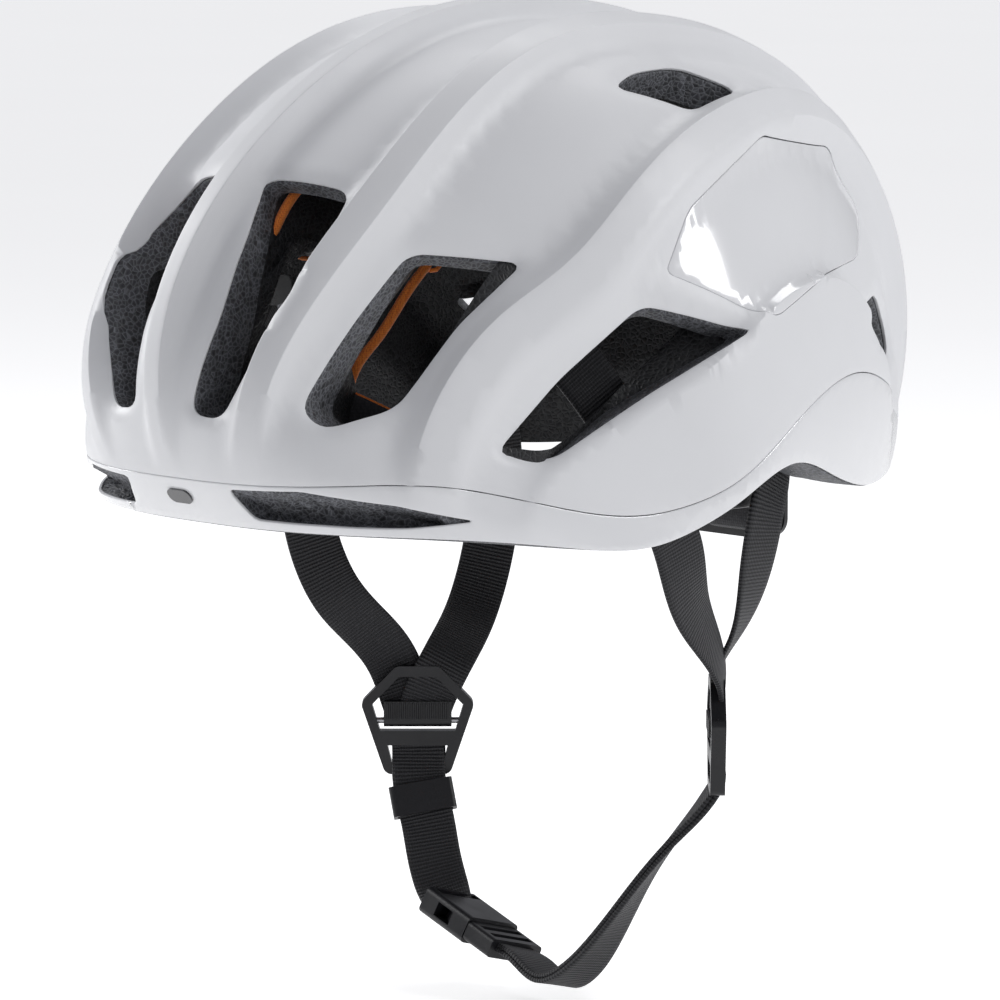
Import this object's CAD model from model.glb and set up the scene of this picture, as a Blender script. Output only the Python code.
"""Road cycling helmet: shells over a foam liner, comfort pads, webbing harness, fit system.

Shapes are worked out in millimetres in the CAD frame and turned into metres as meshes are made.
"""
import math
import bmesh
import bpy
import numpy as np
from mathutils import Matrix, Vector, geometry, kdtree


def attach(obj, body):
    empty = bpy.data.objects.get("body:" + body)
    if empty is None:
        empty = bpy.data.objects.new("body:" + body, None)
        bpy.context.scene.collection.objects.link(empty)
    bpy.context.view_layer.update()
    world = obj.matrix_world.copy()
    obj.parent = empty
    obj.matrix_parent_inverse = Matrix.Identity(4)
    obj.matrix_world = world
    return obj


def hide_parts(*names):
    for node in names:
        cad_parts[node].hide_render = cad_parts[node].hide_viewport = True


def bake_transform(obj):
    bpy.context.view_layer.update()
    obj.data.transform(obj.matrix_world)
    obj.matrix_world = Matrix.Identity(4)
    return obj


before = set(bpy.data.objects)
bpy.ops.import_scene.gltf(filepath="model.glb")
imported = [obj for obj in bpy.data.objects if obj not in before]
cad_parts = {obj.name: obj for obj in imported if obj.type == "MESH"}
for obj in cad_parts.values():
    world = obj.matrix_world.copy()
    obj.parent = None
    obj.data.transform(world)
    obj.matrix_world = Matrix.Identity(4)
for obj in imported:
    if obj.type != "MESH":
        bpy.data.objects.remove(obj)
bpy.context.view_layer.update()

MM = 0.001

# ---------------------------------------------------------------- camera
AZIMUTH = math.radians(45)
ELEVATION = math.radians(7.6)
TARGET = Vector((0, 0.0038, -0.0064))
DISTANCE = 1.6

camera = bpy.data.objects.new("camera", bpy.data.cameras.new("camera"))
bpy.context.scene.collection.objects.link(camera)
back = Vector((math.sin(AZIMUTH) * math.cos(ELEVATION), -math.cos(AZIMUTH) * math.cos(ELEVATION),
               math.sin(ELEVATION)))
camera.location = TARGET + back * DISTANCE
camera.rotation_mode = "QUATERNION"
camera.rotation_quaternion = (-back).to_track_quat("-Z", "Y")
camera.data.sensor_width = 36
camera.data.lens = 185.5
camera.data.clip_start = 0.01
camera.data.clip_end = 100
bpy.context.scene.camera = camera


# ---------------------------------------------------------------- helmet surfaces
POLE = -25.0
END_WIDTH = 105.0
BODY_POWER = 2.7
CAVITY_SIZE = np.array([82.0, 105.5, 139.0])
CAVITY_SHIFT = 1.5
CAVITY_POWER = 2.25
HOLLOW = 8.5
RIB_HALF = 2.3                   # half width of a rib's top, in degrees of sweep
WALL = 3.8                       # width of the slope beside a rib, in degrees of sweep
APEX = np.array([0.0, 0.0, 15.0])


def spline(xs, ys):
    """Natural cubic spline through points, for arrays."""
    xs = np.array(xs, float)
    ys = np.array(ys, float)
    count = len(xs)
    steps = np.diff(xs)
    matrix = np.eye(count)
    right = np.zeros(count)
    for i in range(1, count - 1):
        matrix[i, i - 1:i + 2] = steps[i - 1], 2 * (steps[i - 1] + steps[i]), steps[i]
        right[i] = 6 * ((ys[i + 1] - ys[i]) / steps[i] - (ys[i] - ys[i - 1]) / steps[i - 1])
    bends = np.linalg.solve(matrix, right)

    def value(x):
        x = np.asarray(x, float)
        i = np.clip(np.searchsorted(xs, x) - 1, 0, count - 2)
        step = steps[i]
        a = (xs[i + 1] - x) / step
        b = (x - xs[i]) / step
        curve = ((a ** 3 - a) * bends[i] + (b ** 3 - b) * bends[i + 1]) * step ** 2 / 6
        return a * ys[i] + b * ys[i + 1] + curve

    return value


profile_radius = spline([0, 20, 40, 60, 80, 100, 120, 140, 160, 180],
                        [89, 145.5, 165, 169, 173, 176, 181, 175, 151.5, 115])
half_width = spline([0, 45, 90, 135, 180], [93, 80, 106.5, 101, 82])
RIB_AT = [15, 32, 50, 65, 85, 105, 122, 150, 165]
RIBS = [spline(RIB_AT, [19, 28, 31.5, 28.5, 23, 21.5, 21.5, 23, 23]),
        spline(RIB_AT, [48, 52, 54, 54.5, 48.5, 40.5, 34.5, 33, 33]),
        spline(RIB_AT, [62, 66, 69.5, 70.5, 69.5, 64, 59.5, 58, 54])]
hollow_fade = spline([0, 16, 30, 60, 120, 150, 162, 180], [0, 0, 0.75, 1, 1, 0.8, 0.1, 0])


def hollow(elevation, sweep):
    """Depth of the hollows between the ribs."""
    ribs = [np.zeros_like(elevation)] + [rib(elevation) for rib in RIBS]
    fade = np.clip(hollow_fade(elevation), 0, 1)
    depth = np.zeros_like(elevation)
    for low, high in zip(ribs, ribs[1:]):
        from_rib = np.minimum(np.abs(sweep) - low, high - np.abs(sweep)) - RIB_HALF
        down = np.clip(from_rib / WALL, 0, 1)
        narrow = np.clip((high - low) / 22, 0.4, 1)
        depth = depth + HOLLOW * narrow * fade * (1 - (1 - down) ** 2.2) * np.clip(down * 4, 0, 1)
    return depth


def squared_circle(angle, power):
    c = np.cos(np.radians(angle))
    s = np.sin(np.radians(angle))
    size = (np.abs(c) ** power + np.abs(s) ** power) ** (1 / power)
    return c / size, s / size


def shell(elevation, sweep, inset=0.0):
    """Points on the outer surface, or inset millimetres inside it."""
    elevation = np.asarray(elevation, float)
    sweep = np.asarray(sweep, float)
    reach, side = squared_circle(sweep, BODY_POWER)
    depth = inset + hollow(elevation, sweep)
    radius = profile_radius(elevation) - depth
    end = END_WIDTH - inset
    x = (end + (half_width(elevation) - depth - end) * reach) * side
    y = -np.cos(np.radians(elevation)) * radius * reach
    z = POLE + np.sin(np.radians(elevation)) * radius * reach
    return np.stack([x, y, z], -1)


def cavity(elevation, sweep, inset=0.0):
    """Points on the head cavity, or inset millimetres towards the head."""
    reach, side = squared_circle(np.asarray(sweep, float), CAVITY_POWER)
    forward, upward = squared_circle(np.asarray(elevation, float), CAVITY_POWER)
    size = CAVITY_SIZE - np.asarray(inset, float)[..., None]
    return np.stack([size[..., 0] * side, CAVITY_SHIFT - size[..., 1] * forward * reach,
                     POLE + size[..., 2] * upward * reach], -1)


def shell_place(points):
    """(elevation, sweep, inside) of points against the outer surface."""
    x, y, z = points[:, 0], points[:, 1], points[:, 2] - POLE
    elevation = np.degrees(np.arctan2(z, -y))
    radius = profile_radius(elevation)
    middle = half_width(elevation)
    sweep = np.degrees(np.arctan2(np.abs(x) / 100, np.hypot(y, z) / radius))
    for _ in range(4):
        depth = hollow(elevation, sweep)
        reach = np.hypot(y, z) / (radius - depth)
        side = np.abs(x) / (END_WIDTH + (middle - depth - END_WIDTH) * np.clip(reach, 0, 1.2))
        sweep = np.degrees(np.arctan2(side, reach))
    return elevation, sweep * np.sign(x), reach ** BODY_POWER + side ** BODY_POWER < 1


def cavity_place(points):
    """(elevation, sweep, inside) of points against the head cavity."""
    share = (points - [0, CAVITY_SHIFT, POLE]) / CAVITY_SIZE
    power = CAVITY_POWER
    inside = (np.abs(share) ** power).sum(-1) < 1
    elevation = np.degrees(np.arctan2(share[:, 2], -share[:, 1]))
    forward, upward = squared_circle(elevation, power)
    reach = np.hypot(share[:, 1], share[:, 2]) / np.hypot(forward, upward)
    sweep = np.degrees(np.arctan2(share[:, 0], reach))
    return elevation, sweep, inside


def seen_from_apex(directions, place):
    """(elevation, sweep) where rays from the vents' apex meet a surface."""
    low = np.zeros(len(directions))
    high = np.full(len(directions), 320.0)
    for _ in range(36):
        middle = (low + high) / 2
        inside = place(APEX + directions * middle[:, None])[2]
        low = np.where(inside, middle, low)
        high = np.where(inside, high, middle)
    elevation, sweep, _ = place(APEX + directions * low[:, None])
    return np.stack([elevation, sweep], -1)


# ---------------------------------------------------------------- outlines on the surfaces
RIM = [(-150, -1), (-124, -1), (-100, -1.5), (-62, -5.5), (-36, -8), (-16, -4), (5, 6), (26, 12.5),
       (47, 6.5), (71, 0.5), (102, 1.5), (135, 4), (160, 4)]
PARTING = [(-150, 12.5), (-132, 13), (-98, 14), (-75, 9.5), (-48, 3), (-31, 1.8), (0, 10), (27, 26),
           (60, 36.5), (84, 30), (109, 17), (140, 15), (165, 15)]
VENTS = {
    "front": [(23.3, 9), (34, 12.6), (44, 10), (51.5, 4.5), (53, 25), (38, 28.3), (23.2, 17)],
    "middle": [(26.5, 32.5), (37.5, 36.8), (50.5, 38.5), (60.5, 48.6), (46.8, 48.2), (31.2, 45.4), (25, 36)],
    "side": [(31.5, 57.5), (51.5, 60), (73.5, 59), (97, 64.5), (66, 67), (36, 63.5)],
    "top": [(87.5, 33.5), (92, 31), (99.5, 29.5), (107, 34), (97, 38.5)],
    "rear_inner": [(116, 6), (116, 17), (132, 18.5), (148, 16), (148, 8)],
    "rear_outer": [(124, 27.5), (127, 31), (146, 29.5), (146, 25.5)],
    "rear_side": [(133, 57), (134.5, 53), (139.5, 46), (147, 41.5), (150, 43), (148, 50), (140.5, 56)],
}
PANEL = [(80, 57), (88, 51.5), (105, 43.5), (122, 38), (131, 40), (130, 49), (117, 57.5), (103, 63.5)]
SLOT = [(15.6, 14.5), (12.4, 17), (12.9, 30), (14.6, 44), (18.3, 54), (17.6, 44), (16.8, 30)]


def level_loop(points, surface, raised=0.0, count=640):
    """Where a surface meets a front-to-back line, as a closed loop of (elevation, sweep)."""
    height = spline([y for y, _ in points], [z + raised for _, z in points])
    turn = np.linspace(0, 2 * np.pi, count, endpoint=False)
    square = np.maximum(np.abs(np.cos(turn)), np.abs(np.sin(turn)))
    step_e = -92 * np.cos(turn) / square
    step_s = 89.6 * np.sin(turn) / square
    low = np.zeros(count)
    high = np.ones(count)
    for _ in range(30):
        middle = (low + high) / 2
        place = surface(90 + step_e * middle, step_s * middle)
        above = place[:, 2] > height(place[:, 1])
        low = np.where(above, middle, low)
        high = np.where(above, high, middle)
    return np.stack([90 + step_e * low, step_s * low], -1)


def rounded_loop(corners, radius, pitch):
    """A closed polygon in 3-D with its corners rounded off, and then divided evenly."""
    corners = np.array(corners)
    path = []
    for i, corner in enumerate(corners):
        before = corners[i - 1] - corner
        after = corners[(i + 1) % len(corners)] - corner
        cut_before = min(radius, 0.42 * np.linalg.norm(before))
        cut_after = min(radius, 0.42 * np.linalg.norm(after))
        start = corner + before / np.linalg.norm(before) * cut_before
        end = corner + after / np.linalg.norm(after) * cut_after
        for t in np.linspace(0, 1, 7):
            path.append((1 - t) ** 2 * start + 2 * t * (1 - t) * corner + t ** 2 * end)
    path = np.array(path + [path[0]])
    lengths = np.concatenate([[0], np.cumsum(np.linalg.norm(np.diff(path, axis=0), axis=1))])
    at = np.linspace(0, lengths[-1], max(int(lengths[-1] / pitch), 12), endpoint=False)
    return np.stack([np.interp(at, lengths, path[:, k]) for k in range(3)], -1)


def cut_directions(corners, side, radius=5.0, pitch=1.6, grow=0.0):
    """Directions from the apex along the rounded outline of a straight-sided opening."""
    places = np.array(corners, float)
    rays = shell(places[:, 0], side * places[:, 1]) - APEX
    middle = rays.mean(0)
    aim = middle / np.linalg.norm(middle)
    flat = rays * (np.linalg.norm(middle) / (rays @ aim))[:, None]
    loop = rounded_loop(flat, radius, pitch)
    if grow:
        centre = loop.mean(0)
        out = loop - centre
        loop = centre + out * (1 + grow / np.linalg.norm(out, axis=1))[:, None]
    return loop / np.linalg.norm(loop, axis=1)[:, None]


vent_rays = {(name, side): cut_directions(corners, side)
             for name, corners in VENTS.items() for side in (1, -1)}
vent_loops = {key: seen_from_apex(rays, shell_place) for key, rays in vent_rays.items()}
panel_loops = {side: seen_from_apex(cut_directions(PANEL, side, 3.5), shell_place) for side in (1, -1)}
inner_panel_loops = {side: seen_from_apex(cut_directions(PANEL, side, 3.5, grow=-0.15), shell_place)
                     for side in (1, -1)}
slot_loops = {side: seen_from_apex(cut_directions(SLOT, side, 2.2), shell_place) for side in (1, -1)}
rim_loop = level_loop(RIM, shell)
parting_loop_low = level_loop(PARTING, shell, -0.12)
parting_loop_high = level_loop(PARTING, shell, 0.12)
cavity_rim_loop = level_loop(RIM, cavity)


# ---------------------------------------------------------------- mesh helpers
PLANE_SCALE = np.array([3.0, 2.4])    # millimetres for a degree of elevation and of sweep


def inside_loop(points, loop):
    """Which points lie inside a closed loop, by counting crossings."""
    a = loop
    b = np.roll(loop, -1, axis=0)
    px = points[:, 0][:, None]
    py = points[:, 1][:, None]
    crosses = (a[:, 1] > py) != (b[:, 1] > py)
    with np.errstate(divide="ignore", invalid="ignore"):
        at = a[:, 0] + (py - a[:, 1]) / (b[:, 1] - a[:, 1]) * (b[:, 0] - a[:, 0])
    return (crosses & (px < at)).sum(1) % 2 == 1


def nearest(points, others):
    """Distance from each point to the nearest of others."""
    tree = kdtree.KDTree(len(others))
    for i, other in enumerate(others):
        tree.insert(Vector((*other, 0)) if len(other) == 2 else Vector(other), i)
    tree.balance()
    return np.array([tree.find(Vector((*p, 0)) if len(p) == 2 else Vector(p))[2] for p in points])


def region_mesh(outline, holes, pitch, extra=None, lines=()):
    """Triangles of a region of the (elevation, sweep) plane: places and faces."""
    loops = [np.asarray(loop) * PLANE_SCALE for loop in [outline, *holes]]
    lines = [np.asarray(line) * PLANE_SCALE for line in lines]
    points = []
    edges = []
    for loop in loops + lines:
        start = len(points)
        points += list(loop)
        edges += [(start + i, start + (i + 1) % len(loop)) for i in range(len(loop))]
    boundary = np.concatenate(loops + lines)
    free = []
    if extra is not None:
        line = np.asarray(extra) * PLANE_SCALE
        line = line[inside_loop(line, loops[0])]
        for hole in loops[1:]:
            line = line[~inside_loop(line, hole)]
        line = line[nearest(line, boundary) > 0.55 * pitch]
        free.append(line)
    low = loops[0].min(0)
    high = loops[0].max(0)
    rows = np.arange(low[1], high[1], pitch * 0.87)
    grid = np.array([(u + (pitch / 2 if k % 2 else 0), v) for k, v in enumerate(rows)
                     for u in np.arange(low[0], high[0], pitch)])
    grid = grid[inside_loop(grid, loops[0])]
    for hole in loops[1:]:
        grid = grid[~inside_loop(grid, hole)]
    grid = grid[nearest(grid, boundary) > 0.6 * pitch]
    if free and len(free[0]):
        grid = grid[nearest(grid, free[0]) > 0.6 * pitch]
    free.append(grid)
    points += list(np.concatenate(free))
    verts, _, faces, _, _, _ = geometry.delaunay_2d_cdt([Vector(p) for p in points], edges, [], 0, 1e-5)
    verts = np.array([tuple(v) for v in verts])
    faces = np.array(faces)
    middles = verts[faces].mean(1)
    keep = inside_loop(middles, loops[0])
    for hole in loops[1:]:
        keep &= ~inside_loop(middles, hole)
    return verts / PLANE_SCALE, faces[keep]


def add_object(name, verts, faces, material, smooth=True, kinds=None):
    """A mesh object from millimetre points; kinds are the faces' material numbers."""
    mesh = bpy.data.meshes.new(name)
    mesh.from_pydata([tuple(v) for v in np.asarray(verts) * MM], [],
                     [tuple(int(i) for i in f) for f in faces])
    if kinds is not None:
        mesh.polygons.foreach_set("material_index", kinds)
    tidy = bmesh.new()
    tidy.from_mesh(mesh)
    bmesh.ops.remove_doubles(tidy, verts=tidy.verts, dist=2e-6)
    bmesh.ops.recalc_face_normals(tidy, faces=tidy.faces)
    tidy.to_mesh(mesh)
    tidy.free()
    if smooth:
        mesh.polygons.foreach_set("use_smooth", [True] * len(mesh.polygons))
    obj = bpy.data.objects.new(name, mesh)
    bpy.context.scene.collection.objects.link(obj)
    mesh.materials.append(material)
    return obj


def add_bevel(obj, width, segments=3, angle=40):
    bevel = obj.modifiers.new("edges", "BEVEL")
    bevel.width = width * MM
    bevel.segments = segments
    bevel.limit_method = "ANGLE"
    bevel.angle_limit = math.radians(angle)
    bevel.harden_normals = False
    return obj


def place_piece(obj, body, slot, *nodes):
    """The piece rides on a body, takes its finish from a slot and stands for CAD nodes."""
    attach(obj, body)
    if nodes:
        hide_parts(*nodes)
    return obj


# ---------------------------------------------------------------- materials
def new_material(name, color, roughness, metallic=0.0):
    """A principled material; returns it with its node tree, shader and object coordinates."""
    material = bpy.data.materials.new(name)
    material.use_nodes = True
    tree = material.node_tree
    shader = tree.nodes["Principled BSDF"]
    shader.inputs["Base Color"].default_value = (*color, 1)
    shader.inputs["Roughness"].default_value = roughness
    shader.inputs["Metallic"].default_value = metallic
    coordinates = tree.nodes.new("ShaderNodeTexCoord")
    return material, tree, shader, coordinates


def noise_node(tree, vector, scale, detail=3.0, roughness=0.5):
    node = tree.nodes.new("ShaderNodeTexNoise")
    node.inputs["Scale"].default_value = scale
    node.inputs["Detail"].default_value = detail
    node.inputs["Roughness"].default_value = roughness
    tree.links.new(vector, node.inputs["Vector"])
    return node


def ramp_node(tree, value, stops):
    """A colour ramp; stops are (position, colour)."""
    node = tree.nodes.new("ShaderNodeValToRGB")
    elements = node.color_ramp.elements
    while len(elements) < len(stops):
        elements.new(0.5)
    for element, (position, color) in zip(elements, stops):
        element.position = position
        element.color = (*color, 1)
    tree.links.new(value, node.inputs["Fac"])
    return node


def range_node(tree, value, low, high, to_low, to_high):
    node = tree.nodes.new("ShaderNodeMapRange")
    for name, number in (("From Min", low), ("From Max", high), ("To Min", to_low), ("To Max", to_high)):
        node.inputs[name].default_value = number
    tree.links.new(value, node.inputs["Value"])
    return node


def bump_node(tree, shader, height, strength, distance, under=None):
    node = tree.nodes.new("ShaderNodeBump")
    node.inputs["Strength"].default_value = strength
    node.inputs["Distance"].default_value = distance * MM
    tree.links.new(height, node.inputs["Height"])
    if under is not None:
        tree.links.new(under.outputs["Normal"], node.inputs["Normal"])
    tree.links.new(node.outputs["Normal"], shader.inputs["Normal"])
    return node


def plastic(name, color, roughness, grain=0.04, grain_scale=900, coat=0.0, variation=0.04, spread=0.06):
    """Moulded plastic: faint cloudiness, fine grain and slight change in gloss."""
    material, tree, shader, coordinates = new_material(name, color, roughness)
    where = coordinates.outputs["Object"]
    cloud = noise_node(tree, where, 28, 4)
    light = tuple(min(c * (1 + variation), 1) for c in color)
    dark = tuple(c * (1 - variation) for c in color)
    tint = ramp_node(tree, cloud.outputs["Fac"], [(0.3, dark), (0.7, light)])
    tree.links.new(tint.outputs["Color"], shader.inputs["Base Color"])
    gloss = range_node(tree, noise_node(tree, where, 70, 5).outputs["Fac"], 0.3, 0.7,
                       max(roughness - spread, 0.03), roughness + spread)
    tree.links.new(gloss.outputs["Result"], shader.inputs["Roughness"])
    bump_node(tree, shader, noise_node(tree, where, grain_scale, 2).outputs["Fac"], grain, 0.3)
    shader.inputs["Coat Weight"].default_value = coat
    shader.inputs["Coat Roughness"].default_value = 0.06
    return material


shell_matte = plastic("shell_matte", (0.80, 0.805, 0.82), 0.42, grain=0.02, grain_scale=1500,
                      coat=0.0, variation=0.012)
shell_gloss = plastic("shell_gloss", (0.84, 0.845, 0.86), 0.16, grain=0.012, grain_scale=500,
                      coat=0.9, variation=0.01,
                      spread=0.03)
hardware = plastic("hardware", (0.009, 0.009, 0.011), 0.33, grain=0.09, grain_scale=1400, variation=0.2)
keeper_rubber = plastic("keeper_rubber", (0.011, 0.011, 0.013), 0.42, grain=0.12, grain_scale=1800,
                        variation=0.2)
badge = plastic("badge", (0.03, 0.03, 0.032), 0.2, grain=0.02, coat=1.0, variation=0.2)


def brushed_steel():
    material, tree, shader, coordinates = new_material("steel", (0.56, 0.56, 0.58), 0.3, 1.0)
    grain = noise_node(tree, coordinates.outputs["Object"], 1500, 4)
    gloss = range_node(tree, grain.outputs["Fac"], 0.3, 0.7, 0.2, 0.45)
    tree.links.new(gloss.outputs["Result"], shader.inputs["Roughness"])
    tint = ramp_node(tree, grain.outputs["Fac"], [(0.3, (0.42, 0.42, 0.44)), (0.7, (0.62, 0.62, 0.64))])
    tree.links.new(tint.outputs["Color"], shader.inputs["Base Color"])
    bump_node(tree, shader, grain.outputs["Fac"], 0.1, 0.1)
    return material


steel = brushed_steel()


def beaded_foam(name, brightness):
    """Moulded polystyrene: packed beads with paler seams, each bead a slightly different grey."""
    material, tree, shader, coordinates = new_material(name, (0.05, 0.05, 0.055), 0.62)
    warp = noise_node(tree, coordinates.outputs["Object"], 60, 2)
    shift = tree.nodes.new("ShaderNodeVectorMath")
    shift.operation = "MULTIPLY_ADD"
    tree.links.new(warp.outputs["Color"], shift.inputs[0])
    shift.inputs[1].default_value = (0.003, 0.003, 0.003)
    tree.links.new(coordinates.outputs["Object"], shift.inputs[2])
    seams = tree.nodes.new("ShaderNodeTexVoronoi")
    seams.feature = "DISTANCE_TO_EDGE"
    beads = tree.nodes.new("ShaderNodeTexVoronoi")
    for node in (seams, beads):
        node.inputs["Scale"].default_value = 640
        tree.links.new(shift.outputs["Vector"], node.inputs["Vector"])
    seam_tint = ramp_node(tree, seams.outputs["Distance"],
                          [(0.0, tuple(brightness * c for c in (0.17, 0.175, 0.185))),
                           (0.12, tuple(brightness * c for c in (0.085, 0.087, 0.093))),
                           (0.4, tuple(brightness * c for c in (0.042, 0.043, 0.047)))])
    grey = tree.nodes.new("ShaderNodeSeparateColor")
    tree.links.new(beads.outputs["Color"], grey.inputs["Color"])
    level = ramp_node(tree, grey.outputs["Red"], [(0.0, (0.8, 0.8, 0.8)), (1.0, (1.5, 1.5, 1.55))])
    mixed = tree.nodes.new("ShaderNodeMix")
    mixed.data_type = "RGBA"
    mixed.blend_type = "MULTIPLY"
    mixed.inputs["Factor"].default_value = 1.0
    tree.links.new(seam_tint.outputs["Color"], mixed.inputs["A"])
    tree.links.new(level.outputs["Color"], mixed.inputs["B"])
    tree.links.new(mixed.outputs["Result"], shader.inputs["Base Color"])
    dome = range_node(tree, seams.outputs["Distance"], 0.0, 0.25, 0.0, 1.0)
    low = bump_node(tree, shader, dome.outputs["Result"], 0.45, 0.5)
    bump_node(tree, shader, noise_node(tree, coordinates.outputs["Object"], 2500, 2).outputs["Fac"],
              0.1, 0.1, low)
    gloss = range_node(tree, grey.outputs["Red"], 0, 1, 0.45, 0.75)
    tree.links.new(gloss.outputs["Result"], shader.inputs["Roughness"])
    return material


foam = beaded_foam("foam", 1.0)
dark_foam = beaded_foam("inner_foam", 0.16)


def knitted(name, color, pitch=0.9, fuzz=0.25):
    """Knitted fabric: rows of small loops with a soft sheen."""
    material, tree, shader, coordinates = new_material(name, color, 0.85)
    where = coordinates.outputs["Object"]
    loops = tree.nodes.new("ShaderNodeTexVoronoi")
    loops.inputs["Scale"].default_value = 1000 / pitch
    loops.inputs["Randomness"].default_value = 0.35
    tree.links.new(where, loops.inputs["Vector"])
    shade = ramp_node(tree, loops.outputs["Distance"], [(0.0, tuple(min(c * 1.8, 1) for c in color)),
                                                        (0.55, color), (1.0, tuple(c * 0.35 for c in color))])
    tree.links.new(shade.outputs["Color"], shader.inputs["Base Color"])
    low = bump_node(tree, shader, loops.outputs["Distance"], 0.6, -0.25)
    bump_node(tree, shader, noise_node(tree, where, 4000, 2).outputs["Fac"], fuzz, 0.1, low)
    shader.inputs["Sheen Weight"].default_value = 0.25
    shader.inputs["Sheen Roughness"].default_value = 0.5
    return material


pad_fabric = knitted("pad_fabric", (0.022, 0.022, 0.025))
orange_piping = knitted("orange_piping", (0.85, 0.20, 0.03), pitch=0.6, fuzz=0.15)
hook_tape = knitted("hook_tape", (0.015, 0.015, 0.016), pitch=0.7, fuzz=0.6)


def woven_webbing():
    """Webbing with cross ribs, a fine herringbone and slightly brighter edges. Needs UVs in millimetres."""
    material, tree, shader, coordinates = new_material("webbing", (0.02, 0.02, 0.023), 0.62)
    uv = coordinates.outputs["UV"]
    split = tree.nodes.new("ShaderNodeSeparateXYZ")
    tree.links.new(uv, split.inputs["Vector"])

    def wave(source, pitch, phase=None):
        turns = tree.nodes.new("ShaderNodeMath")
        turns.operation = "MULTIPLY"
        turns.inputs[1].default_value = 2 * math.pi / pitch
        tree.links.new(source, turns.inputs[0])
        total = turns
        if phase is not None:
            total = tree.nodes.new("ShaderNodeMath")
            total.operation = "ADD"
            tree.links.new(turns.outputs[0], total.inputs[0])
            tree.links.new(phase, total.inputs[1])
        sine = tree.nodes.new("ShaderNodeMath")
        sine.operation = "SINE"
        tree.links.new(total.outputs[0], sine.inputs[0])
        half = tree.nodes.new("ShaderNodeMath")
        half.operation = "MULTIPLY_ADD"
        half.inputs[1].default_value = 0.5
        half.inputs[2].default_value = 0.5
        tree.links.new(sine.outputs[0], half.inputs[0])
        return half.outputs[0]

    wander = noise_node(tree, uv, 0.35, 2)
    jitter = range_node(tree, wander.outputs["Fac"], 0, 1, -0.8, 0.8)
    ribs = wave(split.outputs["Y"], 1.15, jitter.outputs["Result"])
    threads = wave(split.outputs["X"], 0.85)
    product = tree.nodes.new("ShaderNodeMath")
    product.operation = "MULTIPLY_ADD"
    product.inputs[1].default_value = 0.35
    tree.links.new(threads, product.inputs[0])
    tree.links.new(ribs, product.inputs[2])
    tint = ramp_node(tree, product.outputs[0], [(0.0, (0.002, 0.002, 0.003)), (0.5, (0.008, 0.008, 0.010)),
                                                (1.0, (0.026, 0.026, 0.03))])
    tree.links.new(tint.outputs["Color"], shader.inputs["Base Color"])
    low = bump_node(tree, shader, product.outputs[0], 0.8, 0.28)
    bump_node(tree, shader, noise_node(tree, coordinates.outputs["Object"], 5000, 2).outputs["Fac"],
              0.3, 0.08, low)
    shader.inputs["Sheen Weight"].default_value = 0.12
    shader.inputs["Sheen Roughness"].default_value = 0.4
    return material


webbing = woven_webbing()

# ---------------------------------------------------------------- shells, panels and liner
ROLL_WIDTH = 5.0
ROLL_DEPTH = 1.4
PITCH = 2.8
ALONG = np.arange(14, 172, 0.45)
ACROSS = [0.0] + [sign * (RIB_HALF + WALL * share) for share in (0, 0.25, 0.5, 1) for sign in (1, -1)]
rib_line = np.concatenate([np.column_stack([ALONG, side * rib(ALONG) + offset])
                           for rib in [np.zeros_like, *RIBS] for side in (1, -1) for offset in ACROSS])
vent_edges = np.concatenate([shell(loop[:, 0], loop[:, 1]) for loop in vent_loops.values()])


def rolled_inset(places, inset):
    """Inset that grows towards the edge of a vent, so that the shell rolls into it."""
    distance = nearest(shell(places[:, 0], places[:, 1]), vent_edges)
    return inset + ROLL_DEPTH * np.clip(1 - distance / ROLL_WIDTH, 0, 1) ** 2


def skin_piece(name, outline, holes, material, body, slot, *nodes, thickness=1.1):
    """A moulded shell over part of the outer surface."""
    places, faces = region_mesh(outline, holes, PITCH, extra=rib_line)
    verts = shell_at(places, rolled_inset(places, 0.0))
    obj = add_object(name, verts, faces, material)
    solid = obj.modifiers.new("wall", "SOLIDIFY")
    solid.thickness = thickness * MM
    solid.offset = -1
    add_bevel(obj, 0.4, 3, 50)
    return place_piece(obj, body, slot, *nodes)


def shell_at(places, inset):
    """Points on the outer surface with an inset for each place."""
    return shell(places[:, 0], places[:, 1], inset)


def outward(obj):
    """Turns faces so that they point away from the middle of the head."""
    mesh = obj.data
    total = 0.0
    for face in mesh.polygons:
        total += face.normal.dot(face.center - Vector((0, 0, 0.03))) * face.area
    if total < 0:
        mesh.flip_normals()


all_vents = list(vent_loops.values())
outward(skin_piece("upper_shell", parting_loop_high, all_vents + list(panel_loops.values()), shell_matte,
                   "root", "shell_matte", "outer_shell"))
outward(skin_piece("lower_trim", rim_loop, [parting_loop_low] + list(slot_loops.values()), shell_gloss,
                   "root", "shell_gloss", "lower_shell"))
for side, suffix in ((1, "left"), (-1, "right")):
    outward(skin_piece(f"gloss_panel_{suffix}", inner_panel_loops[side], [], shell_gloss,
                       "root", "shell_gloss", f"side_panel_{suffix}"))


def rounded_places(places, radius=5.0, pitch=2.0):
    """A rounded closed loop on the cavity through corner places."""
    places = np.array(places, float)
    flat = np.column_stack([places * [2.2, 1.9], np.zeros(len(places))])
    loop = rounded_loop(flat, radius, pitch)
    return loop[:, :2] / [2.2, 1.9]


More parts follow.
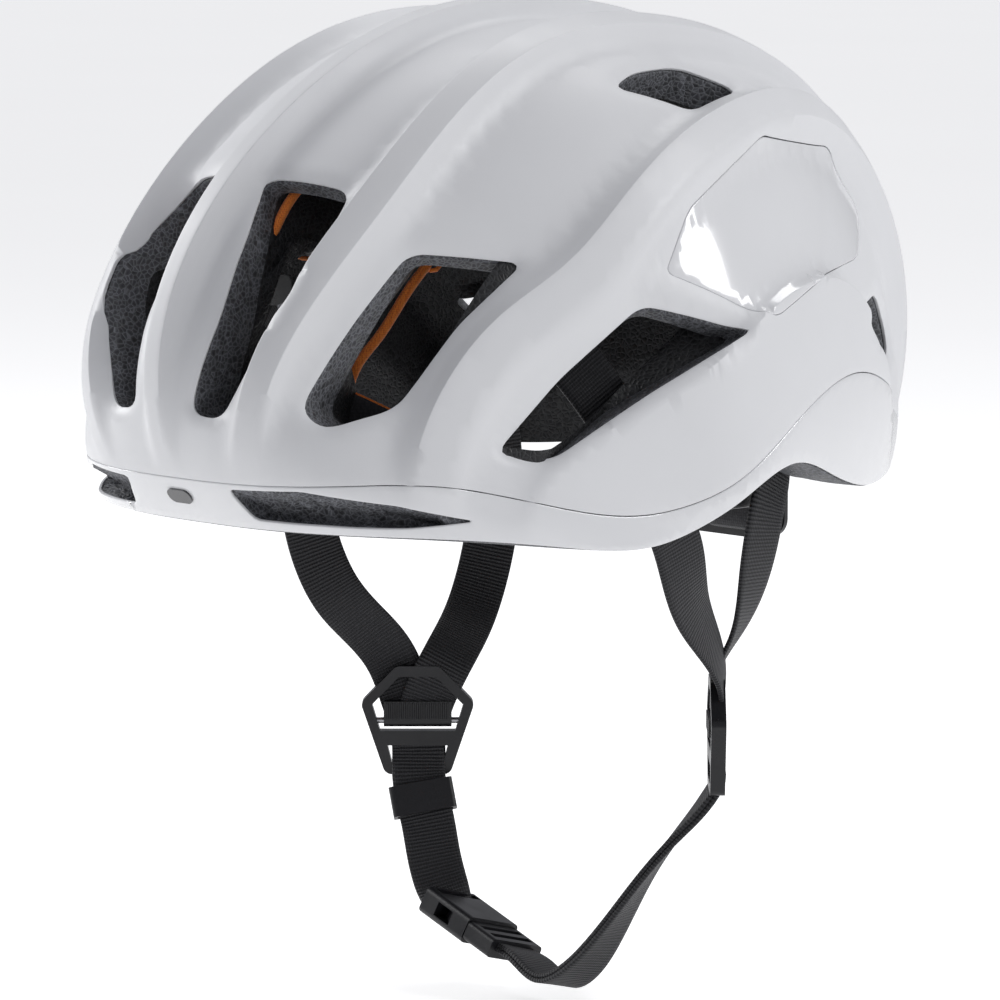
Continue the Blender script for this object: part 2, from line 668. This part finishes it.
PADS = {
    "brow": ([(26, -44), (15.5, -44), (14, -22), (14, 22), (15.5, 44), (26, 44), (27.5, 22), (27.5, -22)],
             "brow_pad"),
    "crown_center": ([(44, -5.5), (44, 5.5), (90, 4.2), (136, 5.5), (136, -5.5), (90, -4.2)],
                     "crown_pad_center"),
    "crown_left": ([(50, 19.5), (48, 29), (90, 22.5), (125, 27), (123, 19), (90, 15.5)], "crown_pad_left"),
}
PADS["crown_right"] = ([(elevation, -sweep) for elevation, sweep in PADS["crown_left"][0]], "crown_pad_right")
pad_loops = {name: rounded_places(corners) for name, (corners, _) in PADS.items()}
CHANNEL = 17.0                   # depth of the channels inside the liner, between the pads


def cavity_wall(places):
    """Points on the liner's inner surface: the head cavity, with channels moulded between the pads."""
    elevation, sweep = places[:, 0], places[:, 1]
    scale = np.array([2.2, 1.9])
    away = nearest(places * scale, np.concatenate(list(pad_loops.values())) * scale)
    for loop in pad_loops.values():
        away = np.where(inside_loop(places, loop), 0, away)
    window = (np.clip((elevation - 17) / 7, 0, 1) * np.clip((158 - elevation) / 12, 0, 1)
              * np.clip((64 - np.abs(sweep)) / 8, 0, 1))
    return cavity(elevation, sweep, -CHANNEL * np.clip((away - 1.5) / 6, 0, 1) * window)


# vents that open wider inside: how far the inner edge moves, and the depth of the walls above and beside
OPENED = {"front": ((0, 22, 26), 5.0, 17.0), "middle": ((-6, 24, 24), 5.0, 17.0),
          "side": ((-8, 6, 18), 5.0, 15.0),
          "top": ((0, 0, 0), 9.0, 9.0)}


def liner_piece():
    """The foam liner: the surface under the shells, the vent walls, the cavity and the rim."""
    verts = []
    faces = []
    kinds = []

    def add(points, polygons, kind=0):
        start = sum(len(v) for v in verts)
        verts.append(np.asarray(points))
        faces.extend([[start + int(i) for i in polygon] for polygon in polygons])
        kinds.extend([kind] * len(polygons))

    def bridge(rings, kind=0):
        count = len(rings[0])
        polygons = []
        for k in range(len(rings) - 1):
            for i in range(count):
                j = (i + 1) % count
                polygons.append((k * count + i, k * count + j, (k + 1) * count + j, (k + 1) * count + i))
        add(np.concatenate(rings), polygons, kind)

    recess = {side: seen_from_apex(cut_directions(SLOT, side, 2.2, grow=-0.5), shell_place)
              for side in (1, -1)}
    places, triangles = region_mesh(rim_loop, all_vents, 3.2, extra=rib_line, lines=list(recess.values()))
    inset = rolled_inset(places, 1.3)
    slot_edge = np.concatenate(list(recess.values()))
    in_slot = np.zeros(len(places), bool)
    for loop in recess.values():
        in_slot |= inside_loop(places, loop)
    reach_in = nearest(places * PLANE_SCALE, slot_edge * PLANE_SCALE)
    inset = inset + np.where(in_slot, 7.0 * np.clip(reach_in / 1.2, 0, 1), 0)
    add(shell_at(places, inset), triangles)

    cavity_holes = []
    for key, loop in vent_loops.items():
        lift, top_wall, side_wall = OPENED.get(key[0], ((0, 0, 0), 14.0, 14.0))
        outside = shell_at(loop, rolled_inset(loop, 1.3))
        height = outside[:, 2]
        up = np.clip((height - height.min()) / np.ptp(height), 0, 1)[:, None] ** 1.5
        hole = seen_from_apex(vent_rays[key], cavity_place)
        inside = cavity(hole[:, 0], hole[:, 1])
        straight = outside + (inside - outside) / np.linalg.norm(inside - outside, axis=1)[:, None] * (
            side_wall + (top_wall - side_wall) * up)
        if key[0] in OPENED:
            middle = inside.mean(0)
            aims = middle + (inside - middle) * 1.12 + up * np.array(lift) - APEX
            hole = seen_from_apex(aims / np.linalg.norm(aims, axis=1)[:, None], cavity_place)
        inside = cavity_wall(hole)
        cavity_holes.append(hole)
        bridge([outside * (1 - t) + straight * t for t in np.linspace(0, 1, 6)])
        bridge([straight * (1 - t) + inside * t for t in np.linspace(0, 1, 5)], 1)
    places, triangles = region_mesh(cavity_rim_loop, cavity_holes, 4.0)
    add(cavity_wall(places), triangles, 1)

    outside = shell_at(rim_loop, rolled_inset(rim_loop, 1.3))
    inside = cavity(cavity_rim_loop[:, 0], cavity_rim_loop[:, 1])
    rings = []
    for share in np.linspace(0, 1, 7):
        ring = outside * (1 - share) + inside * share
        ring[:, 2] -= 0.8 * math.sin(math.pi * share)
        rings.append(ring)
    bridge(rings)
    obj = add_object("foam_liner", np.concatenate(verts), faces, foam, kinds=kinds)
    obj.data.materials.append(dark_foam)
    add_bevel(obj, 0.5, 2, 50)
    return place_piece(obj, "root", "foam", "eps_liner")


liner_piece()


# ---------------------------------------------------------------- webbing
def smooth_path(points, pitch):
    """A smooth line through points (any columns), divided about evenly."""
    points = np.array(points, float)
    lengths = np.concatenate([[0], np.cumsum(np.linalg.norm(np.diff(points[:, :3], axis=0), axis=1))])
    at = np.linspace(0, lengths[-1], max(int(lengths[-1] / pitch), 4))
    if len(points) == 2:
        return np.stack([np.interp(at, lengths, points[:, k]) for k in range(points.shape[1])], -1)
    return np.stack([spline(lengths, points[:, k])(at) for k in range(points.shape[1])], -1)


def ribbon(name, stations, width, thickness, material, body, slot, *nodes, pitch=2.0, edge=0.35):
    """Flat webbing through stations: a centre and the direction of its width."""
    rows = smooth_path([(*centre, *across) for centre, across in stations], pitch)
    centres = rows[:, :3]
    along = np.gradient(centres, axis=0)
    along /= np.linalg.norm(along, axis=1)[:, None]
    across = rows[:, 3:] - along * (rows[:, 3:] * along).sum(1)[:, None]
    across /= np.linalg.norm(across, axis=1)[:, None]
    normal = np.cross(along, across)
    travelled = np.concatenate([[0], np.cumsum(np.linalg.norm(np.diff(centres, axis=0), axis=1))])
    w, t = width / 2, thickness / 2
    r = min(edge, t * 0.95)
    section = []
    for k in range(9):
        share = k / 8
        section.append((-w + r + (width - 2 * r) * share, t * (1 - 0.12 * math.sin(math.pi * share))))
    section.append((w, t - r))
    section.append((w, -t + r))
    for k in range(9):
        share = k / 8
        section.append((w - r - (width - 2 * r) * share, -t * (1 - 0.12 * math.sin(math.pi * share))))
    section.append((-w, -t + r))
    section.append((-w, t - r))
    count = len(section)
    mesh = bpy.data.meshes.new(name)
    verts = [centres[i] + across[i] * u + normal[i] * v for i in range(len(centres)) for u, v in section]
    faces = []
    for i in range(len(centres) - 1):
        for k in range(count):
            j = (k + 1) % count
            faces.append((i * count + k, i * count + j, (i + 1) * count + j, (i + 1) * count + k))
    faces.append(tuple(range(count))[::-1])
    faces.append(tuple((len(centres) - 1) * count + k for k in range(count)))
    mesh.from_pydata([tuple(v * MM) for v in verts], [], faces)
    layer = mesh.uv_layers.new(name="weave")
    for loop in mesh.loops:
        i, k = divmod(loop.vertex_index, count)
        layer.data[loop.index].uv = (section[k][0] + (section[k][1] if k in (9, 10, 20, 21) else 0),
                                     travelled[i])
    tidy = bmesh.new()
    tidy.from_mesh(mesh)
    bmesh.ops.recalc_face_normals(tidy, faces=tidy.faces)
    tidy.to_mesh(mesh)
    tidy.free()
    mesh.polygons.foreach_set("use_smooth", [True] * len(mesh.polygons))
    mesh.materials.append(material)
    obj = bpy.data.objects.new(name, mesh)
    bpy.context.scene.collection.objects.link(obj)
    return obj if body is None else place_piece(obj, body, slot, *nodes)


def divider_point(plane, x, y, z):
    origin, right, out = plane
    return tuple(np.array(origin) + np.array(right) * x + np.array([0, 0, 1.0]) * y + np.array(out) * z)


S = 0.70710678
RIGHT_DIVIDER = ((-64, 30, -87), (S, S, 0), (S, -S, 0))
LEFT_DIVIDER = ((64, 34, -76), (S, -S, 0), (-S, -S, 0))
WEB = 17.0
ribbon("webbing_front_right",
       [((-64, -36, 50), (-0.4, 0.8, 0.5)), ((-69.5, -28, 38), (-0.33, 0.85, 0.45)),
        ((-74.3, -17, 20), (-0.15, 0.92, 0.38)), ((-77.2, -10, 3), (0.05, 0.93, 0.3)),
        ((-79, -4, -20), (0.4, 0.9, 0.3)), ((-74.5, 5, -45), (0.6, 0.8, 0.25)),
        (divider_point(RIGHT_DIVIDER, -8.5, 20, -0.6), (0.66, 0.66, 0.36)),
        (divider_point(RIGHT_DIVIDER, -3.5, 7, -0.8), (0.7, 0.7, 0.2)),
        (divider_point(RIGHT_DIVIDER, -1.5, 1, -1.2), (0.7, 0.7, 0.1))],
       WEB, 1.5, webbing, "root", "webbing", "front_strap_right")
ribbon("webbing_rear_right",
       [((-64, 60.5, 15), (0.45, 0.9, -0.3)), ((-64.6, 65.5, 4), (0.5, 0.9, -0.1)),
        ((-67.5, 69.5, -12), (0.6, 0.8, 0)),
        ((-68, 67, -32), (0.7, 0.7, -0.2)), ((-65.5, 56, -54), (0.7, 0.7, -0.3)),
        (divider_point(RIGHT_DIVIDER, 8.5, 18, 1.0), (0.66, 0.66, -0.36)),
        (divider_point(RIGHT_DIVIDER, 3.5, 7, 0.9), (0.7, 0.7, -0.2)),
        (divider_point(RIGHT_DIVIDER, 1.5, 1, 0.6), (0.7, 0.7, -0.1))],
       WEB, 1.5, webbing, "root", "webbing", "rear_strap_right")
ribbon("webbing_front_left",
       [((64, -36, 50), (0.4, 0.8, 0.5)), ((69.5, -28, 38), (0.33, 0.85, 0.45)),
        ((74.3, -17, 20), (0.22, 0.92, 0.38)), ((77.2, -8, 4), (0.12, 0.93, 0.3)),
        ((78.2, 1, -13), (0.2, 0.95, 0.2)), ((74.5, 11, -32), (-0.1, 0.98, 0.2)),
        (divider_point(LEFT_DIVIDER, 5, 17, -1.5), (-0.6, 0.75, 0.2)),
        (divider_point(LEFT_DIVIDER, 2, 4, -1.2), (-0.7, 0.7, 0.1))],
       WEB, 1.5, webbing, "root", "webbing", "front_strap_left")
ribbon("webbing_rear_left",
       [((66.6, 57.5, 15), (-0.3, 0.9, -0.3)), ((69, 54, 5), (-0.15, 0.95, -0.2)),
        ((70.5, 50, -4), (-0.1, 0.97, -0.2)),
        ((68.5, 47, -24), (-0.15, 0.98, -0.1)), ((63.5, 43, -46), (-0.5, 0.86, 0)),
        (divider_point(LEFT_DIVIDER, -5, 16, 0.8), (-0.65, 0.75, -0.1)),
        (divider_point(LEFT_DIVIDER, -2, 4, 0.8), (-0.7, 0.7, -0.1))],
       WEB, 1.5, webbing, "root", "webbing", "rear_strap_left")

# the two layers of the right chin strap, from the divider through the keeper to the buckle's socket
CHIN_RIGHT = [(divider_point(RIGHT_DIVIDER, 0, -6, -0.4), (0.7, 0.7, 0)),
              (divider_point(RIGHT_DIVIDER, 0.2, -11, 1.2), (0.69, 0.71, 0)),
              ((-60.9, 27.2, -104.5), (0.66, 0.75, 0.15)), ((-56, 26.3, -118.2), (0.66, 0.75, 0.2)),
              ((-51.5, 25, -130), (0.64, 0.77, 0.2)), ((-47, 24.5, -139.5), (0.5, 0.86, 0.2)),
              ((-43.5, 23.6, -143.6), (0.3, 0.93, -0.1))]


def offset_stations(stations, distance, shift=0.0):
    """Stations moved along the webbing's thickness, and a little across it."""
    centres = np.array([centre for centre, _ in stations])
    along = np.gradient(centres, axis=0)
    result = []
    for (centre, across), line in zip(stations, along):
        normal = np.cross(line, across)
        normal /= np.linalg.norm(normal)
        moved = np.array(centre) + normal * distance + np.array(across) * shift
        result.append((tuple(moved), across))
    return result


for layer, (distance, shift) in enumerate(((0.78, 0.0), (-0.78, 0.35))):
    nodes = ("chin_strap_right",) if layer == 0 else ()
    ribbon(f"chin_webbing_right_{layer + 1}", offset_stations(CHIN_RIGHT, distance, shift), WEB, 1.45,
           webbing,
           "root", "webbing", *nodes)

# the left chin strap sags from the left divider to the buckle's plug and bends as the buckle parts
CHIN_LEFT = [(divider_point(LEFT_DIVIDER, 0, -5, 0.2), (-0.7, 0.7, 0)),
             (divider_point(LEFT_DIVIDER, 0, -12, -1.2), (-0.7, 0.7, 0)),
             ((62, 33, -95.5), (-0.7, 0.7, 0)), ((53, 30, -107), (-0.6, 0.8, 0)),
             ((42, 26, -122), (-0.45, 0.88, 0)), ((30, 21.5, -142), (-0.2, 0.95, -0.1)),
             ((21, 18.5, -154), (0, 0.97, -0.2)), ((10, 18, -159.5), (0.1, 0.97, -0.25)),
             ((-2, 19.5, -155.5), (0.15, 0.95, -0.3)), ((-11.5, 21.3, -153.6), (0.2, 0.93, -0.33))]
for layer, (distance, shift) in enumerate(((0.78, 0.0), (-0.78, 0.3))):
    strap = ribbon(f"chin_webbing_left_{layer + 1}", offset_stations(CHIN_LEFT, distance, shift), WEB, 1.45,
                   webbing,
                   None, "webbing")
    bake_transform(strap)
    if layer == 0:
        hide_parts("chin_strap_left")


# ---------------------------------------------------------------- comfort pads
def pillow(name, outline, thickness, base_inset, surface, body, *nodes, pitch=2.5, crown=0.5, fill=0.6):
    """A crowned pad on a surface, thin at its sewn edge; outline is a loop of places."""
    places, faces = region_mesh(outline, [], pitch)
    distance = nearest(surface(places[:, 0], places[:, 1]), surface(outline[:, 0], outline[:, 1]))
    rise = np.clip(distance / 6.0, 0, 1)
    bulge = 0.9 + (thickness - 0.9) * np.sin(rise * np.pi / 2) ** crown
    quilt = 0.18 * np.sin(places[:, 0] * 0.9) * np.sin(places[:, 1] * 1.1) * rise
    top = surface(places[:, 0], places[:, 1], base_inset + bulge + quilt)
    bottom = surface(places[:, 0], places[:, 1], np.full(len(places), base_inset))
    count = len(places)
    edges = {}
    for face in faces:
        for a, b in ((face[0], face[1]), (face[1], face[2]), (face[2], face[0])):
            key = (min(a, b), max(a, b))
            edges[key] = edges.get(key, 0) + 1
    walls = [(a, b, b + count, a + count) for (a, b), times in edges.items() if times == 1]
    polygons = [tuple(f) for f in faces] + [tuple(i + count for i in f)[::-1] for f in faces] + walls
    obj = add_object(name, np.concatenate([top, bottom]), polygons, pad_fabric)
    place_piece(obj, body, "pad", *nodes)
    return obj


def tube(name, path, radius, material, body, slot, closed=True, sides=8):
    """A round cord along a path."""
    path = np.asarray(path, float)
    ahead = np.roll(path, -1, axis=0) if closed else np.concatenate([path[1:], path[-1:] * 2 - path[-2:-1]])
    behind = np.roll(path, 1, axis=0) if closed else np.concatenate([path[:1] * 2 - path[1:2], path[:-1]])
    along = ahead - behind
    along /= np.linalg.norm(along, axis=1)[:, None]
    normal = np.cross(along, path - np.array([0, 0, 20.0]))
    normal /= np.linalg.norm(normal, axis=1)[:, None]
    other = np.cross(along, normal)
    angles = np.linspace(0, 2 * np.pi, sides, endpoint=False)
    verts = [path[i] + radius * (math.cos(a) * normal[i] + math.sin(a) * other[i])
             for i in range(len(path)) for a in angles]
    faces = []
    rows = len(path) if closed else len(path) - 1
    for i in range(rows):
        n = (i + 1) % len(path)
        for k in range(sides):
            j = (k + 1) % sides
            faces.append((i * sides + k, i * sides + j, n * sides + j, n * sides + k))
    if not closed:
        faces.append(tuple(range(sides))[::-1])
        faces.append(tuple((len(path) - 1) * sides + k for k in range(sides)))
    obj = add_object(name, verts, faces, material)
    return place_piece(obj, body, slot)


for name, (corners, node) in PADS.items():
    loop = pad_loops[name]
    pillow(f"pad_{name}", loop, 5.0, 0.8, cavity, "root", node)
    edge = cavity(loop[:, 0], loop[:, 1], np.full(len(loop), 2.3))
    tube(f"piping_{name}", edge, 0.85, orange_piping, "root", "pad")


# orange cords seen through the vents; no CAD node stands behind them, and they partly hang free of the liner
SPINES = {"inner": [(8.5, -82, 100), (8.4, -91, 93), (8.3, -102, 77), (8.3, -110.4, 63),
                    (8.3, -113.8, 51), (9, -113, 42)],
          "outer": [(37, -50, 84), (38, -60, 77), (37, -71.5, 66), (34.5, -81.5, 52.5),
                    (31.5, -87, 44.5), (30, -89, 38)]}
for name, line in SPINES.items():
    for side, suffix in ((1, "left"), (-1, "right")):
        path = smooth_path([(side * x, y, z) for x, y, z in line], 2.5)
        tube(f"spine_{name}_{suffix}", path, 1.5, orange_piping, "root", "pad", closed=False, sides=10)


# ---------------------------------------------------------------- hardware from the CAD
def finish_node(name, material, bevel):
    """A better material, and softened edges, on a CAD node whose shape is right."""
    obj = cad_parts[name]
    if not obj.material_slots:
        obj.data.materials.append(None)
    for place in obj.material_slots:
        place.link = "OBJECT"
        place.material = material
    if bevel:
        add_bevel(obj, bevel, 3, 30)


FINISHES = [
    (hook_tape, 0, "pad_hook_dots"),
    (hardware, 0.3, "strap_anchors_front strap_anchors_rear temple_anchors stem_anchor"),
    (hardware, 1.3, "divider_frame_left divider_frame_right"),
    (hardware, 0.4, "divider_lever_left divider_lever_right"),
    (steel, 0, "divider_pin_left divider_pin_right dial_screw"),
    (hardware, 0.5, "buckle_socket buckle_plug latch_arm_front latch_arm_rear"),
    (keeper_rubber, 1.1, "strap_keeper"),
    (badge, 0.25, "front_badge"),
    (hardware, 0.25, "cradle_housing cradle_cover height_stem drive_pinion left_rack right_rack"),
    (keeper_rubber, 0.5, "dial_knob"),
    (hardware, 0.1, "detent_spring"),
]
for finish, width, names in FINISHES:
    for name in names.split():
        finish_node(name, finish, width)


def lever_grips(name, plane, body):
    """Fine grip bars across a divider lever's blade."""
    verts = []
    faces = []
    for k in range(15):
        middle = -9.8 + 1.4 * k
        start = len(verts)
        for y in (0.7, 6.0):
            for x, z in ((-0.42, 2.2), (-0.42, 2.6), (-0.2, 2.85), (0.2, 2.85), (0.42, 2.6), (0.42, 2.2)):
                verts.append(divider_point(plane, middle + x, y, z))
        faces.extend([(start + i, start + (i + 1) % 6, start + 6 + (i + 1) % 6, start + 6 + i)
                      for i in range(6)])
        faces.append(tuple(range(start, start + 6))[::-1])
        faces.append(tuple(range(start + 6, start + 12)))
    return place_piece(add_object(name, verts, faces, hardware, smooth=False), body, "hardware")


lever_grips("lever_grips_right", RIGHT_DIVIDER, "lever_right")
lever_grips("lever_grips_left", LEFT_DIVIDER, "lever_left")


def cradle_pad(name, middle, *nodes):
    """A crowned pad on the front face of the cradle."""
    wide, high, corner = 12.5, 10.0, 5.0
    outline = []
    for turn in range(4):
        for k in range(9):
            angle = math.pi / 2 * (turn + k / 8)
            x = math.cos(angle) * corner + (wide - corner) * (1 if turn in (0, 3) else -1)
            z = math.sin(angle) * corner + (high - corner) * (1 if turn in (0, 1) else -1)
            outline.append((x, z))
    rings = []
    for scale, y in ((1.0, 94.8), (1.0, 93.6), (0.97, 92.6), (0.88, 91.6), (0.7, 91.0), (0.45, 90.7),
                     (0.2, 90.6)):
        rings.append([(middle + x * scale, y, -12.5 + z * scale) for x, z in outline])
    count = len(outline)
    faces = [(r * count + i, r * count + (i + 1) % count,
              (r + 1) * count + (i + 1) % count, (r + 1) * count + i)
             for r in range(len(rings) - 1) for i in range(count)]
    faces.append(tuple(range(count)))
    faces.append(tuple((len(rings) - 1) * count + i for i in range(count)))
    obj = place_piece(add_object(name, [v for ring in rings for v in ring], faces, pad_fabric),
                      "cradle", "pad", *nodes)


cradle_pad("occipital_pad_left", 15.5, "occipital_pads")
cradle_pad("occipital_pad_right", -15.5)


# the fit arms bend as the cradle moves down and as the racks draw them in
ARM = [(76.4, -33, 1), (74.3, -20, 1), (73, -8, 1), (72.7, 8, 0), (70.5, 30, -1), (65, 50, -2.5),
       (56, 68, -4),
       (46, 83, -5), (38, 92.5, -5.5), (32, 99, -5.5)]
for side, suffix, height in ((1, "left", -3.95), (-1, "right", -21.05)):
    line = [(side * x, y, z + (height + 5.5) * (i / (len(ARM) - 1)) ** 2) for i, (x, y, z) in enumerate(ARM)]
    stations = [(point, (0, 0, 1)) for point in line]
    front = ribbon(f"fit_arm_{suffix}_front", stations[:8], 9, 1.8, hardware, None, "hardware")
    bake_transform(front)
    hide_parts(f"fit_arm_{suffix}")
    rear = ribbon(f"fit_arm_{suffix}_rear", stations[7:], 9, 1.8, hardware, None, "hardware")
    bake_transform(rear)


# ---------------------------------------------------------------- light and floor
world = bpy.data.worlds.new("studio")
bpy.context.scene.world = world
world.use_nodes = True
backdrop = world.node_tree.nodes["Background"]
backdrop.inputs["Color"].default_value = (1, 1, 1, 1)
backdrop.inputs["Strength"].default_value = 1.0
dimmed = world.node_tree.nodes.new("ShaderNodeBackground")
dimmed.inputs["Color"].default_value = (0.93, 0.94, 1.0, 1)
dimmed.inputs["Strength"].default_value = 0.33
ray_kind = world.node_tree.nodes.new("ShaderNodeLightPath")
either = world.node_tree.nodes.new("ShaderNodeMixShader")
world.node_tree.links.new(ray_kind.outputs["Is Camera Ray"], either.inputs["Fac"])
world.node_tree.links.new(dimmed.outputs["Background"], either.inputs[1])
world.node_tree.links.new(backdrop.outputs["Background"], either.inputs[2])
world.node_tree.links.new(either.outputs["Shader"], world.node_tree.nodes["World Output"].inputs["Surface"])
bpy.context.scene.view_settings.view_transform = "Standard"


def area_light(name, location, size, power, target=(0, 0, 0.04)):
    light = bpy.data.lights.new(name, "AREA")
    light.shape = "RECTANGLE"
    light.size, light.size_y = size
    light.energy = power
    obj = bpy.data.objects.new(name, light)
    bpy.context.scene.collection.objects.link(obj)
    obj.location = location
    obj.rotation_mode = "QUATERNION"
    obj.rotation_quaternion = (Vector(target) - Vector(location)).to_track_quat("-Z", "Y")
    return obj


area_light("left_softbox", (-1.35, -0.55, 0.75), (0.5, 1.0), 14)
area_light("right_softbox", (1.2, 0.75, 0.8), (0.35, 1.0), 8.5)
area_light("overhead", (-0.25, 0.6, 1.3), (1.0, 0.4), 5)


def floor_piece():
    """A pale floor with a very slight roll-off."""
    mesh = bpy.data.meshes.new("floor")
    edge = 40.0
    mesh.from_pydata([(-edge, -edge, -0.168), (edge, -edge, -0.168), (edge, edge, -0.168),
                      (-edge, edge, -0.168)], [],
                     [(0, 1, 2, 3)])
    obj = bpy.data.objects.new("floor", mesh)
    bpy.context.scene.collection.objects.link(obj)
    material, tree, shader, coordinates = new_material("floor", (0.96, 0.96, 0.96), 0.7)
    tint = ramp_node(tree, noise_node(tree, coordinates.outputs["Object"], 3, 2).outputs["Fac"],
                     [(0.3, (0.94, 0.94, 0.94)), (0.7, (0.96, 0.96, 0.96))])
    tree.links.new(tint.outputs["Color"], shader.inputs["Base Color"])
    shader.inputs["Emission Color"].default_value = (1, 1, 1, 1)
    seen = tree.nodes.new("ShaderNodeLightPath")
    glow = range_node(tree, seen.outputs["Is Camera Ray"], 0, 1, 0.22, 0.55)
    tree.links.new(glow.outputs["Result"], shader.inputs["Emission Strength"])
    mesh.materials.append(material)


floor_piece()
